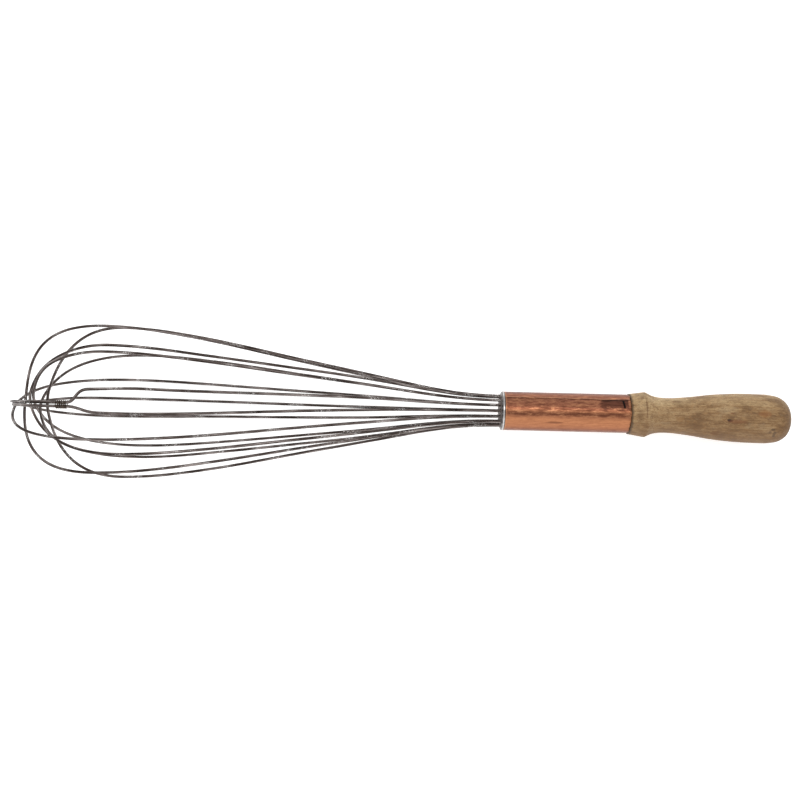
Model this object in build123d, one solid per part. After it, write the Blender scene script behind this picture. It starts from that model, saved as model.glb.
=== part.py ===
from build123d import *
import math
import os

# Dough whisk: eight tinned wire loops in a copper sleeve on a turned beech handle.
# Millimetres. It is built along its own axis, with x from the mouth of the sleeve
# towards the handle, y up across the wires and z towards the side that faces up when
# it lies down. At the end it is laid on the table, with +Z up.

# Sleeve, collar and what they hold
sleeve_length = 72.0
sleeve_diameter = 22.4
sleeve_wall = 0.6
sleeve_edge_round = 0.25
collar_wall = 0.7
wire_inset = 1.25
collar_lip_diameter = 22.8
collar_lip_thickness = 1.9
collar_lip_round = 1.3
plug_depth = 7.0
plug_dome_height = 1.0
core_length = 38.0
wire_end_gap = 1.0
fit_gap = 0.05

# Wire loops
wire_diameter = 1.5
wire_straight_length = 5.0
crossing_gap = 0.3
balloon_length = 284.0
balloon_radius = 43.6
balloon_sag = 0.6
tip_join_radius = 3.0
tip_rise_most = 12.0

# Tie that draws two neighbouring wires together, near the balloon's end
tie_from_end = 46.4
tie_length = 6.9
tie_wire_diameter = 0.5
tie_turn_gap = 0.5
tie_wire_spacing = 2.0
tie_clearance = 0.15
tie_side_offset = -1.25
tie_pull_length = 40.0

# Handle, measured from the end of the sleeve
handle_length = 92.7
shoulder_diameter = 23.3
ridge_distance = 9.4
ridge_diameter = 26.2
ridge_edge_round = 0.6
groove_distance = 12.5
groove_diameter = 23.1
waist_distance = 21.6
waist_diameter = 20.2
swell_distance = 74.0
swell_diameter = 28.4
butt_flat_diameter = 8.0

# Each leg leaves the collar in its own slot, and a loop joins two slots that face
# each other. Past its straight start, a leg's radius grows to the belly through these
# stations: share of the distance, share of the growth, and slope.
leg_profile_shares = (
    (0.0, 0.0, 0.0),
    (0.24, 0.185, 0.21),
    (0.52, 0.535, 0.20),
    (0.76, 0.835, 0.17),
    (1.0, 1.0, 0.0),
)
splay_end_share = 0.8
sag_end_share = 0.7
nose_share = 0.5
tie_tip_share = 0.6
pull_share = 0.2
bend_power = 1.5
tie_height_share = 1.35

# Loops by name. slot is the angle of the first leg round the axis, from +z towards +y,
# and belly_share is where the loop is widest, as a share of the balloon's length (a tied
# leg is widest where the tie ends). The two legs follow, each as splay and turn (degrees
# away from its slot, at the belly and at the tip), fullness of the rounded end, place in
# the stack of crossing wires (0 is outermost), and share of the balloon's radius.
loop_shares = {
    "wire_loop_outer": (22.5, 0.845, (-10.7, 0.0, 0.6, -0.1, 1.0), (-10.7, -8.0, 0.8, 0.0, 1.0)),
    "wire_loop_lower_front": (157.5, 0.803, (3.8, 0.0, 0.79, 1.4, 1.0), (-4.8, -4.0, 0.86, 1.2, 1.0)),
    "wire_loop_flat": (0.0, 0.845, (-8.0, 0.0, 0.83, 2.4, 1.0), (-2.9, 4.0, 0.85, 2.3, 1.0)),
    "wire_loop_tall": (112.5, 0.824, (-18.0, -18.0, 0.94, 3.5, 1.03), (2.0, 3.5, 0.8, 3.4, 1.0)),
    "wire_loop_upper_back": (67.5, 0.782, (-20.5, -8.0, 0.46, 4.5, 1.0), (-17.7, -10.0, 0.86, 4.6, 1.0)),
    "wire_loop_middle_back": (45.0, 0.782, (-5.0, 8.0, 0.56, 5.8, 1.0), (-7.5, 0.0, 0.83, 5.9, 1.0)),
    "wire_loop_lower_back": (135.0, 0.76, (3.1, 0.0, 0.8, 8.5, 1.0), (5.2, -4.0, 0.6, 8.2, 1.0)),
    "wire_loop_inner": (90.0, 0.78, (-1.0, 0.0, 0.65, 10.2, 1.0), (0.0, 0.0, 0.71, 10.2, 0.99)),
}

# Loops whose first legs are tied: the side of the tie that the leg runs on, and the share
# of the pulled stretch before the tie in which it bends sharply.
tied_loops = {"wire_loop_outer": (1, 0.2), "wire_loop_flat": (-1, 0.4)}
resting_loops = ("wire_loop_outer", "wire_loop_flat")
contact_share = 0.72
leg_steps = 12
head_steps = 9
pull_steps = 30
corner_share = 0.45

# Outline between the waist and the swell, and from the swell to the butt: share of the
# distance and share of the change in radius. Last, how steeply it leaves the groove.
body_shares = ((0.26, 0.255), (0.48, 0.65), (0.7, 0.905))
butt_shares = ((0.37, 0.02), (0.68, 0.14), (0.85, 0.345))
groove_slope_share = 0.4

wire_radius = wire_diameter / 2
sleeve_bore_radius = sleeve_diameter / 2 - sleeve_wall
collar_radius = sleeve_bore_radius - fit_gap
collar_bore_radius = collar_radius - collar_wall
ring_radius = collar_bore_radius - wire_inset
wire_grip_length = plug_depth + core_length - wire_end_gap
slot_radius = wire_radius + fit_gap
slot_count = 2 * len(loop_shares)
wire_pitch = wire_diameter + crossing_gap
tie_end = balloon_length - tie_from_end + tie_length
tie_start = tie_end - tie_length
pull_end = tie_start - 2 * tie_wire_diameter
pull_start = pull_end - tie_pull_length


def smooth(share):
    """Rises from 0 to 1 with level ends."""
    t = min(max(share, 0.0), 1.0)
    return t * t * (3 - 2 * t)


def leg_radius(distance, belly, widest):
    """Radius of a leg at a distance from the mouth, through the profile's stations."""
    growth = widest - ring_radius
    curved = belly - wire_straight_length
    along = distance - wire_straight_length
    for (x0, y0, m0), (x1, y1, m1) in zip(leg_profile_shares, leg_profile_shares[1:]):
        if along <= x1 * curved:
            span = (x1 - x0) * curved
            t = (along - x0 * curved) / span
            level = y0 * (2 * t**3 - 3 * t**2 + 1) + y1 * (3 * t**2 - 2 * t**3)
            slopes = m0 * (t**3 - 2 * t**2 + t) + m1 * (t**3 - t**2)
            return ring_radius + growth * level + span * slopes
    return widest


def around(distance, radius, angle):
    """Point at a distance from the mouth, out along an angle from +z towards +y."""
    lift = -balloon_sag * smooth(distance / (sag_end_share * balloon_length))
    turn = math.radians(angle)
    return Vector(-distance, lift + radius * math.sin(turn), radius * math.cos(turn))


def tied_angle(distance, radius, side):
    """Angle that keeps a tied leg beside its neighbour, and brings it nearer at the tip."""
    closing = 1 + (tie_tip_share - 1) * smooth(1 - radius / balloon_radius) * (distance > tie_end)
    offset = tie_side_offset + side * tie_wire_spacing / 2 * closing
    return math.degrees(math.asin(max(-1.0, min(1.0, offset / radius))))


def leg_profile(belly, widest, tip, fullness, tied):
    """Distances and radii of a leg's corner points, from the mouth to beside the tip."""
    step = (belly - wire_straight_length) / leg_steps
    stops = [wire_straight_length + step * i for i in range(leg_steps)]
    if tied:
        stops = [stop for stop in stops if stop < pull_start - step / 4]
        stops += [pull_start + tie_pull_length * i / pull_steps for i in range(pull_steps + 1)]
        stops.append(tie_start)
    profile = [(stop, leg_radius(stop, belly, widest)) for stop in stops]
    reach = fullness * (tip - belly)
    rise = tip_rise_most * (1 - fullness)
    head = ((belly, widest), (belly + reach, widest), (tip - rise, nose_share * widest), (tip, 0.0))
    for i in range(head_steps + 1):
        t = i / head_steps
        weights = ((1 - t) ** 3, 3 * t * (1 - t) ** 2, 3 * t**2 * (1 - t), t**3)
        distance = sum(weight * point[0] for weight, point in zip(weights, head))
        radius = sum(weight * point[1] for weight, point in zip(weights, head))
        if radius > tip_join_radius:
            profile.append((distance, radius))
    return profile


def pulled(distance, bend_share):
    """Share of its way to the tie that a leg has gone: a gentle pull, then a sharp bend."""
    along = (distance - pull_start) / tie_pull_length
    bend = max((along - 1) / bend_share + 1, 0.0)
    return pull_share * smooth(along) + (1 - pull_share) * smooth(bend**bend_power)


def leg_points(slot, belly_share, leg, side=0, bend_share=1.0):
    """Corner points of one leg, from inside the collar to beside the tip."""
    splay, turn, fullness, place, radius_share = leg
    belly = tie_end if side else belly_share * balloon_length
    widest = radius_share * balloon_radius
    tip = balloon_length - place * wire_pitch
    points = [around(-wire_grip_length, ring_radius, slot)]
    for distance, radius in leg_profile(belly, widest, tip, fullness, side != 0):
        angle = slot + splay * smooth(distance / (splay_end_share * belly))
        if side:
            angle += (tied_angle(distance, radius, side) - angle) * pulled(distance, bend_share)
        elif distance > belly:
            angle += (turn - splay) * smooth(1 - radius / widest)
        points.append(around(distance, radius, angle))
    return points


def rounded_path(corners, share=corner_share):
    """Straight runs joined by tangent arcs, each as large as its two runs allow."""
    edges = []
    start = corners[0]
    for before, corner, after in zip(corners, corners[1:], corners[2:]):
        cut = share * min((corner - before).length, (after - corner).length)
        inward = (corner - before).normalized()
        outward = (after - corner).normalized()
        half_turn = math.radians(inward.get_angle(outward) / 2)
        arc_rise = cut * math.cos(half_turn) * math.tan(half_turn / 2)
        arc_start = corner - inward * cut
        arc_end = corner + outward * cut
        middle = (arc_start + arc_end) * 0.5
        arc_middle = middle + (corner - middle).normalized() * arc_rise
        edges.append(Line(start, arc_start))
        edges.append(ThreePointArc(arc_start, arc_middle, arc_end))
        start = arc_end
    edges.append(Line(start, corners[-1]))
    return Wire(edges)


def tube(path, diameter):
    """Round bar of one diameter along a path."""
    section = Plane(origin=path @ 0, z_dir=path % 0) * Circle(diameter / 2)
    return sweep(section, path)


def turned(outline):
    """Solid of revolution about the whisk's axis, from an outline in x and radius."""
    return revolve(make_face(outline), Axis.X)


def bar_along(length, radius, start):
    """Plain cylinder along the axis, from a place on it towards the handle."""
    return Plane(origin=(start, 0, 0), z_dir=(1, 0, 0)) * Cylinder(
        radius, length, align=(Align.CENTER, Align.CENTER, Align.MIN)
    )


def wire_slots(length, start):
    """Sixteen straight bars where the wires pass, one for each leg."""
    bar = bar_along(length, slot_radius, start)
    slots = []
    for i in range(slot_count):
        turn = 2 * math.pi * i / slot_count
        slots.append(Pos(0, ring_radius * math.sin(turn), ring_radius * math.cos(turn)) * bar)
    return slots


def wire_loop(name):
    """One unbroken wire with both ends gripped in the collar, opposite each other."""
    slot, belly_share, first, second = loop_shares[name]
    there = leg_points(slot, belly_share, first, *tied_loops.get(name, ()))
    back = leg_points(slot + 180, belly_share, second)
    path = rounded_path(there + back[::-1])
    loop = tube(path, wire_diameter)
    swept = math.pi * wire_radius**2 * path.length
    print(f"{name}: {path.length:.1f} mm, volume over section times length {loop.volume / swept:.3f}")
    return loop


def biarc_path(points, tangents, lead):
    """Tangent arcs through points with given directions, two to a step, with straight ends."""
    edges = [Line(points[0] - tangents[0] * lead, points[0])]
    for start, end, t_start, t_end in zip(points, points[1:], tangents, tangents[1:]):
        chord = end - start
        both = t_start + t_end
        bend = 2 * (1 - t_start.dot(t_end))
        along = chord.dot(both)
        reach = (math.sqrt(along**2 + bend * chord.dot(chord)) - along) / bend
        corners = (start + t_start * reach, end - t_end * reach)
        joint = (corners[0] + corners[1]) * 0.5
        for begin, corner, finish in ((start, corners[0], joint), (joint, corners[1], end)):
            middle = (begin + finish) * 0.5
            half_turn = math.radians((corner - begin).get_angle(finish - corner) / 2)
            rise = (middle - begin).length * math.tan(half_turn / 2)
            edges.append(ThreePointArc(begin, middle + (corner - middle).normalized() * rise, finish))
    edges.append(Line(points[-1], points[-1] + tangents[-1] * lead))
    return Wire(edges)


def least_own_gap(path, diameter, half_turns, samples=300):
    """Least gap of a winding's tube to itself, between points over half a turn apart."""
    spots = [path @ (i / samples) for i in range(samples + 1)]
    apart = samples // half_turns
    return min(
        (there - here).length - diameter
        for i, here in enumerate(spots)
        for there in spots[i + apart:]
    )


def tip_tie():
    """Thin wire wound round the two tied legs, side by side."""
    ends = []
    for distance in (tie_start, tie_end):
        radius = leg_radius(distance, tie_end, balloon_radius)
        ends.append(around(distance, radius, math.degrees(math.asin(tie_side_offset / radius))))
    run = ends[1] - ends[0]
    along = run.normalized()
    across = Vector(0, 1, 0)
    up = across.cross(along) * -1
    wide = tie_wire_spacing / 2 + wire_radius + tie_wire_diameter / 2 + tie_clearance
    high = wire_radius * tie_height_share + tie_wire_diameter / 2
    pitch = tie_wire_diameter + tie_turn_gap
    turns = int(run.length / pitch)
    start = (run.length - turns * pitch) / 2
    points = []
    tangents = []
    for i in range(4 * turns + 1):
        turn = math.pi / 2 * i
        points.append(
            ends[0]
            + along * (start + pitch * i / 4)
            + across * wide * math.cos(turn)
            + up * high * math.sin(turn)
        )
        heading = (
            along * pitch / (2 * math.pi) - across * wide * math.sin(turn) + up * high * math.cos(turn)
        )
        tangents.append(heading.normalized())
    path = biarc_path(points, tangents, tie_wire_diameter)
    gap = least_own_gap(path, tie_wire_diameter, 2 * turns)
    print(f"tip_tie: {turns} turns, least gap to itself {gap:.2f} mm")
    return tube(path, tie_wire_diameter)


def copper_sleeve():
    """Plain copper tube over the collar and the handle's tenon."""
    sleeve = bar_along(sleeve_length, sleeve_diameter / 2, 0)
    sleeve -= bar_along(sleeve_length, sleeve_bore_radius, 0)
    circles = sleeve.edges().filter_by(GeomType.CIRCLE)
    return fillet([edge for edge in circles if edge.radius > sleeve_bore_radius], sleeve_edge_round)


def steel_collar():
    """Thick tube inside the sleeve, with a rounded lip that covers the sleeve's end."""
    depth = plug_depth + core_length
    whole = collar_lip_thickness + depth
    lip = bar_along(collar_lip_thickness, collar_lip_diameter / 2, -collar_lip_thickness)
    lip = fillet(lip.edges().filter_by(GeomType.CIRCLE).sort_by(Axis.X)[0], collar_lip_round)
    bore = bar_along(whole, collar_bore_radius, -collar_lip_thickness)
    return lip + bar_along(depth, collar_radius, 0) - bore


def solder_plug():
    """Solder that fills the collar's mouth round the wires, with a domed face."""
    radius = collar_bore_radius - fit_gap
    front = -collar_lip_thickness - plug_dome_height
    dome_radius = (radius**2 + plug_dome_height**2) / (2 * plug_dome_height)
    ball = Pos(front + dome_radius, 0, 0) * Rotation(0, 90, 0) * Sphere(dome_radius)
    block = bar_along(plug_depth - front, radius, front)
    return (block - wire_slots(plug_depth - 2 * front, 2 * front)) & ball


def wire_core():
    """Wooden dowel with sixteen grooves that press the wires against the collar."""
    return bar_along(core_length, ring_radius, plug_depth) - wire_slots(core_length, plug_depth)


def between(start, end, shares):
    """Point part of the way from one outline point to another, by its two shares."""
    return tuple(a + (b - a) * share for a, b, share in zip(start, end, shares))


def handle():
    """Turned grip: tenon, sharp ridge, groove, waist, swell and a rounded butt."""
    end = sleeve_length
    tenon = end - plug_depth - core_length - fit_gap
    tenon_radius = sleeve_bore_radius - fit_gap
    shoulder = (end, shoulder_diameter / 2)
    ridge = (end + ridge_distance, ridge_diameter / 2)
    groove = (end + groove_distance, groove_diameter / 2)
    waist = (end + waist_distance, waist_diameter / 2)
    swell = (end + swell_distance, swell_diameter / 2)
    flat = (end + handle_length, butt_flat_diameter / 2)
    body = [between(waist, swell, shares) for shares in body_shares]
    butt = [between(swell, flat, shares) for shares in butt_shares]
    leaving = (1, -groove_slope_share)
    outline = [
        Line((end - tenon, 0), (end - tenon, tenon_radius)),
        Line((end - tenon, tenon_radius), (end, tenon_radius)),
        Line((end, tenon_radius), shoulder),
        Line(shoulder, ridge),
        Line(ridge, groove),
        Spline(groove, waist, tangents=(leaving, (1, 0))),
        Spline(waist, *body, swell, tangents=((1, 0), (1, 0))),
        Spline(swell, *butt, flat, tangents=((1, 0), (0, -1))),
        Line(flat, (end + handle_length, 0)),
        Line((end + handle_length, 0), (end - tenon, 0)),
    ]
    grip = turned(outline)
    circles = grip.edges().filter_by(GeomType.CIRCLE)
    return fillet([edge for edge in circles if abs(edge.radius - ridge[1]) < fit_gap], ridge_edge_round)


def lay_down(pieces):
    """Turns the whisk as it lies on a table: on two wires and the swell of the handle."""
    contact = contact_share * balloon_length
    legs = []
    for name in resting_loops:
        slot, belly_share, first, second = loop_shares[name]
        radius = leg_radius(contact, belly_share * balloon_length, balloon_radius)
        legs.append(around(contact, radius, slot + 180 + second[0]))
    roll = -math.degrees(math.atan2(legs[1].Z - legs[0].Z, legs[1].Y - legs[0].Y))
    depth = wire_radius - legs[0].rotate(Axis.X, roll).Z - swell_diameter / 2
    reach = sleeve_length + swell_distance - legs[0].X
    pose = Rotation(0, math.degrees(math.atan2(depth, reach)), 0) * Rotation(roll, 0, 0)
    posed = {name: pose * piece for name, piece in pieces.items()}
    boxes = [piece.bounding_box() for piece in posed.values()]
    middle_x = (min(box.min.X for box in boxes) + max(box.max.X for box in boxes)) / 2
    middle_y = (min(box.min.Y for box in boxes) + max(box.max.Y for box in boxes)) / 2
    down = Pos(-middle_x, -middle_y, -min(box.min.Z for box in boxes))
    return {name: down * piece for name, piece in posed.items()}


def whisk():
    """Every piece by name, lying on the table."""
    pieces = {name: wire_loop(name) for name in loop_shares}
    pieces["tip_tie"] = tip_tie()
    pieces["copper_sleeve"] = copper_sleeve()
    pieces["steel_collar"] = steel_collar()
    pieces["solder_plug"] = solder_plug()
    pieces["wire_core"] = wire_core()
    pieces["handle"] = handle()
    return lay_down(pieces)


os.makedirs("parts", exist_ok=True)
for name, piece in whisk().items():
    export_step(piece, f"parts/{name}.step")
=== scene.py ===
import math

import bpy
import numpy as np
from mathutils import Matrix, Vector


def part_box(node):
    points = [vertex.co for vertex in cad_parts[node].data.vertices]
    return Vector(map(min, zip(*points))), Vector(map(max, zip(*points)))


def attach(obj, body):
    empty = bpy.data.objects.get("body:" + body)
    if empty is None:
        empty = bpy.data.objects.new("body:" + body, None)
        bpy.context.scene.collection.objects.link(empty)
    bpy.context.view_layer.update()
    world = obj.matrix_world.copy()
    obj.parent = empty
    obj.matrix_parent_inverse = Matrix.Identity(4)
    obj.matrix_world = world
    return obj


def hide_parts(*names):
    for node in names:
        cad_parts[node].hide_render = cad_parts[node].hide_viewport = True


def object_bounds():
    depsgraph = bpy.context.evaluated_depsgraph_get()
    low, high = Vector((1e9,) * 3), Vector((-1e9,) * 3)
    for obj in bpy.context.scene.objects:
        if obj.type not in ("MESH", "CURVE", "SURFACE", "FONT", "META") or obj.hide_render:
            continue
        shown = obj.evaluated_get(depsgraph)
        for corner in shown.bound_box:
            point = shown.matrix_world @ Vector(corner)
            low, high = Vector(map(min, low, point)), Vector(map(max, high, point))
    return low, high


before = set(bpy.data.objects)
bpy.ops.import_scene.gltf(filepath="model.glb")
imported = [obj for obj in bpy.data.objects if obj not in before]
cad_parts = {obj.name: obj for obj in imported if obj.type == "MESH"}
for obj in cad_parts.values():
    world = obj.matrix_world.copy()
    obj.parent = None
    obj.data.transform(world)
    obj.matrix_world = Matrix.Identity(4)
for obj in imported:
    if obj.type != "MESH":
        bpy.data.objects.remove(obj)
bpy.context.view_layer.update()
scene = bpy.context.scene
print("frame loaded")

# Lengths are real millimetres until a piece is finished. The whisk's own axes: x from the
# mouth of the sleeve towards the handle, y up in the picture, z towards the side facing up.
mm = 0.001


# Lines and surfaces

def smooth(share):
    # rises from 0 to 1 with level ends: three times the square less twice the cube
    share = np.clip(share, 0.0, 1.0)
    return share * share * (3 - 2 * share)


def evenly(line, step):
    # the same line with points a step apart: each coordinate read off against the length so far
    runs = np.linalg.norm(np.diff(line, axis=0), axis=1)
    length = np.concatenate(((0.0,), np.cumsum(runs)))
    even = np.linspace(0.0, length[-1], max(int(length[-1] / step), 2) + 1)
    return np.stack([np.interp(even, length, line[:, k]) for k in range(3)], axis=-1), even


def eased(line, passes):
    # each point moves to a quarter of both neighbours and half of itself, the ends stay
    for _ in range(passes):
        line = np.concatenate((line[:1], (line[:-2] + 2 * line[1:-1] + line[2:]) / 4, line[-1:]))
    return line


def wobble(x, y, z, seed, size):
    # smooth unevenness between -1 and 1: the mean of six sine waves, each with a direction
    # and a phase of its own
    directions = np.random.default_rng(seed).normal(size=(6, 4))
    waves = [np.sin((a * x + b * y + c * z) / size + 9 * d) for a, b, c, d in directions]
    return sum(waves) / len(waves)


def throughPoints(stations, startSlope, endSlope, count):
    # cubic Hermite curve through stations, with slopes from each one's two neighbours
    stations = np.array(stations)
    chords = np.linalg.norm(np.diff(stations, axis=0), axis=1)
    knots = np.concatenate(((0.0,), np.cumsum(chords)))
    slopes = np.gradient(stations, knots, axis=0)
    slopes[0] = np.array(startSlope) / np.linalg.norm(startSlope)
    slopes[-1] = np.array(endSlope) / np.linalg.norm(endSlope)
    at = np.linspace(0, knots[-1], count)
    i = np.clip(np.searchsorted(knots, at, side="right") - 1, 0, len(chords) - 1)
    t = ((at - knots[i]) / chords[i])[:, None]
    span = chords[i][:, None]
    return (
        stations[i] * (2 * t**3 - 3 * t**2 + 1) + stations[i + 1] * (3 * t**2 - 2 * t**3)
        + span * (slopes[i] * (t**3 - 2 * t**2 + t) + slopes[i + 1] * (t**3 - t**2))
    )


def tubeGrid(line, length, radius, reference, sides):
    # circles carried along a line: the first axis is the reference less its part along the
    # line, the second is across both, and the pattern's place is that of a straightened tube
    ahead = np.gradient(line, axis=0)
    ahead /= np.linalg.norm(ahead, axis=1, keepdims=True)
    first = reference - ahead * (ahead @ reference)[:, None]
    first /= np.linalg.norm(first, axis=1, keepdims=True)
    second = np.cross(ahead, first)
    turn = np.linspace(0, 2 * np.pi, sides, endpoint=False)[:, None]
    radius = np.broadcast_to(radius, (len(line), sides))[..., None]
    circle = first[:, None] * np.cos(turn) + second[:, None] * np.sin(turn)
    places = np.concatenate((
        np.broadcast_to(length[:, None, None], radius.shape),
        radius * np.cos(turn),
        radius * np.sin(turn),
    ), axis=-1)
    return line[:, None] + circle * radius, places


def turnedGrid(profile, sides):
    # a profile of axis places and radii, carried round the axis
    turn = np.linspace(0, 2 * np.pi, sides, endpoint=False)
    x = np.broadcast_to(profile[:, :1], (len(profile), sides))
    return np.stack((x, profile[:, 1:] * np.sin(turn), profile[:, 1:] * np.cos(turn)), axis=-1)


def level(x, radius):
    # a stretch of a profile at one radius
    return np.stack((x, np.full_like(x, radius)), axis=-1)


def buildPiece(name, points, places, material, ring=False, replaced=None):
    # a grid of rows and columns becomes one closed mesh: columns always run round, rows run
    # round too on a ring, and elsewhere the first and last rows are closed with one face each
    rows, columns = points.shape[:2]
    index = np.arange(rows * columns).reshape(rows, columns)
    below = index if ring else index[:-1]
    above = np.roll(index, -1, axis=0) if ring else index[1:]
    faces = np.stack((
        below, np.roll(below, -1, axis=1), np.roll(above, -1, axis=1), above,
    ), axis=-1).reshape(-1, 4)
    flat = points.reshape(-1, 3)
    corners = flat[faces]
    across = np.cross(corners[:, 2] - corners[:, 0], corners[:, 3] - corners[:, 1])
    inward = np.einsum("ij,ij->", corners.mean(axis=1) - flat.mean(axis=0), across) < 0
    polygons = (faces[:, ::-1] if inward else faces).tolist()
    if not ring:
        ends = (index[0][::-1].tolist(), index[-1].tolist())
        polygons += [end[::-1] for end in ends] if inward else list(ends)
    mesh = bpy.data.meshes.new(name)
    mesh.from_pydata(onTable(flat).tolist(), [], polygons)
    mesh.polygons.foreach_set("use_smooth", np.ones(len(mesh.polygons), dtype=bool))
    attribute = mesh.attributes.new("place", "FLOAT_VECTOR", "POINT")
    attribute.data.foreach_set("vector", places.reshape(-1, 3).astype(np.float32).ravel())
    mesh.materials.append(material)
    mesh.update()
    piece = bpy.data.objects.new(name, mesh)
    scene.collection.objects.link(piece)
    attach(piece, "root")
    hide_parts(replaced or name)


# What the finishes are made of

def colour(code):
    # sRGB hex to linear light: a straight line near black, then the 2.4 power curve
    parts = [int(code[i:i + 2], 16) / 255 for i in (1, 3, 5)]
    linear = [p / 12.92 if p <= 0.04045 else ((p + 0.055) / 1.055) ** 2.4 for p in parts]
    return (*linear, 1.0)


def fill(tree, node, inputs):
    # a node's inputs, in order or by name, each a value, a hex colour or a link
    for name, value in inputs.items() if isinstance(inputs, dict) else enumerate(inputs):
        if isinstance(value, bpy.types.NodeSocket):
            tree.links.new(value, node.inputs[name])
        else:
            node.inputs[name].default_value = colour(value) if isinstance(value, str) else value


def addNode(tree, kind, inputs=(), stops=(), output=None, **settings):
    # one node with its settings, its inputs and a ramp's stops: gives the socket of its result
    node = tree.nodes.new(kind)
    for name, value in settings.items():
        setattr(node, name, value)
    fill(tree, node, inputs)
    for i, (position, code) in enumerate(stops):
        stop = node.color_ramp.elements[i] if i < 2 else node.color_ramp.elements.new(position)
        stop.position = position
        stop.color = colour(code)
    return node.outputs[output] if output else next(out for out in node.outputs if out.enabled)


def newMaterial(name):
    material = bpy.data.materials.new(name)
    material.use_nodes = True
    tree = material.node_tree
    return material, tree, tree.nodes["Principled BSDF"]


def noisePattern(tree, place, size, detail, roughness):
    # noise whose lumps have the given size in millimetres along each axis
    scale = tuple(1 / length for length in size)
    scaled = addNode(tree, "ShaderNodeMapping", {"Vector": place, "Scale": scale})
    return addNode(tree, "ShaderNodeTexNoise", {
        "Vector": scaled, "Scale": 1.0, "Detail": detail, "Roughness": roughness,
    })


def noisePatterns(tree, place, settings):
    # a pattern for each name: its size, detail and roughness
    return {name: noisePattern(tree, place, *values) for name, values in settings.items()}


def swayed(tree, value, noise, by, low=0.3, high=0.7):
    # a value that noise moves up and down: by that much where the noise is low or high
    shift = addNode(tree, "ShaderNodeMapRange", (noise, low, high, -by, by))
    return addNode(tree, "ShaderNodeMath", (value, shift), operation="ADD")


def region(tree, first, firstEdge, second, secondEdge):
    # two soft edges multiplied: between its first two numbers each takes a value from 0 to 1,
    # or from its third number to its fourth
    inside = addNode(tree, "ShaderNodeMapRange", (first, *firstEdge))
    before = addNode(tree, "ShaderNodeMapRange", (second, *secondEdge))
    return addNode(tree, "ShaderNodeMath", (inside, before), operation="MULTIPLY")


def coat(tree, base, code, pattern, start, full, strength, within=None):
    # a colour laid over the base: none of it where the pattern is at the start value, its
    # whole strength at the full value, and less of it outside a region
    share = addNode(tree, "ShaderNodeMapRange", (pattern, start, full, 0.0, strength))
    if within is not None:
        share = addNode(tree, "ShaderNodeMath", (share, within), operation="MULTIPLY")
    return addNode(tree, "ShaderNodeMix", {0: share, 6: base, 7: code}, data_type="RGBA")


def spot(tree, place, centre, size, noise, fray):
    # 1 inside an ellipsoid round a centre, 0 outside, with an edge frayed by noise
    moved = addNode(tree, "ShaderNodeVectorMath", (place, centre), operation="SUBTRACT")
    scaled = addNode(tree, "ShaderNodeVectorMath", (moved, size), operation="DIVIDE")
    away = addNode(tree, "ShaderNodeVectorMath", (scaled,), operation="LENGTH")
    return addNode(tree, "ShaderNodeMapRange", (swayed(tree, away, noise, fray), 1.75, 1.05))


# Wire loops

balloon = {
    "length": 283.6,
    "radius": 43.4,
    "sag": 0.6,              # the whole balloon hangs a little towards the picture's foot
    "sagEnd": 0.7,
    "ringRadius": 8.6,       # of the ring that the legs make in the solder
    "straightLength": 5.0,
    "gripLength": 44.0,
    "tipJoinRadius": 3.0,
    "tipRise": 12.0,
    "noseShare": 0.5,
    "splayEnd": 0.8,
    "contactShare": 0.72,    # share of the length where the loops rest on the table
    "wireDiameter": 1.5,
    "wirePitch": 1.8,        # each loop passes inside the one before it
    "wireSides": 14,
    "wireStep": 1.4,
    "straightPoints": 12,
    "grownPoints": 240,
    "headPoints": 90,
    "easing": 3,
    "thickening": 0.10,      # share by which the dipped tin makes a wire thicker, unevenly
    "unevenShare": 0.4,
    "unevenLength": 7.0,
    "wearShift": 1000.0,     # between one loop and the next, so that no two wires wear alike
    "tin": ("#27201d", "#544a46", "#8c8380", "#f2f0ee"),  # worn, dull, bright, and beads
}
tie = {
    "start": 237.6,
    "length": 6.9,
    "pullLength": 40.0,      # before the tie: a gentle pull, then a sharp bend
    "pullShare": 0.2,
    "bendPower": 1.5,
    "sideOffset": -1.25,
    "wireSpacing": 2.0,
    "tipShare": 0.6,         # share of the spacing that the two legs keep at the tip
    "wireDiameter": 0.5,
    "wireSides": 10,
    "turnGap": 0.5,
    "clearance": 0.15,
    "heightShare": 1.35,
    "stepsPerTurn": 40,
    "stepShare": 1 / 3,
    "pointShare": 0.02,      # so that the rounded ends of the wire keep a face
    "tin": ("#241b16", "#43362c", "#63564c", "#8b8077"),
}

# Radius of a leg past its straight start, as stations: share of the distance to the
# belly, share of the growth in radius, and slope.
legStations = np.array((
    (0.0, 0.0, 0.0),
    (0.24, 0.185, 0.21),
    (0.52, 0.535, 0.20),
    (0.76, 0.835, 0.17),
    (1.0, 1.0, 0.0),
))

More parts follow.
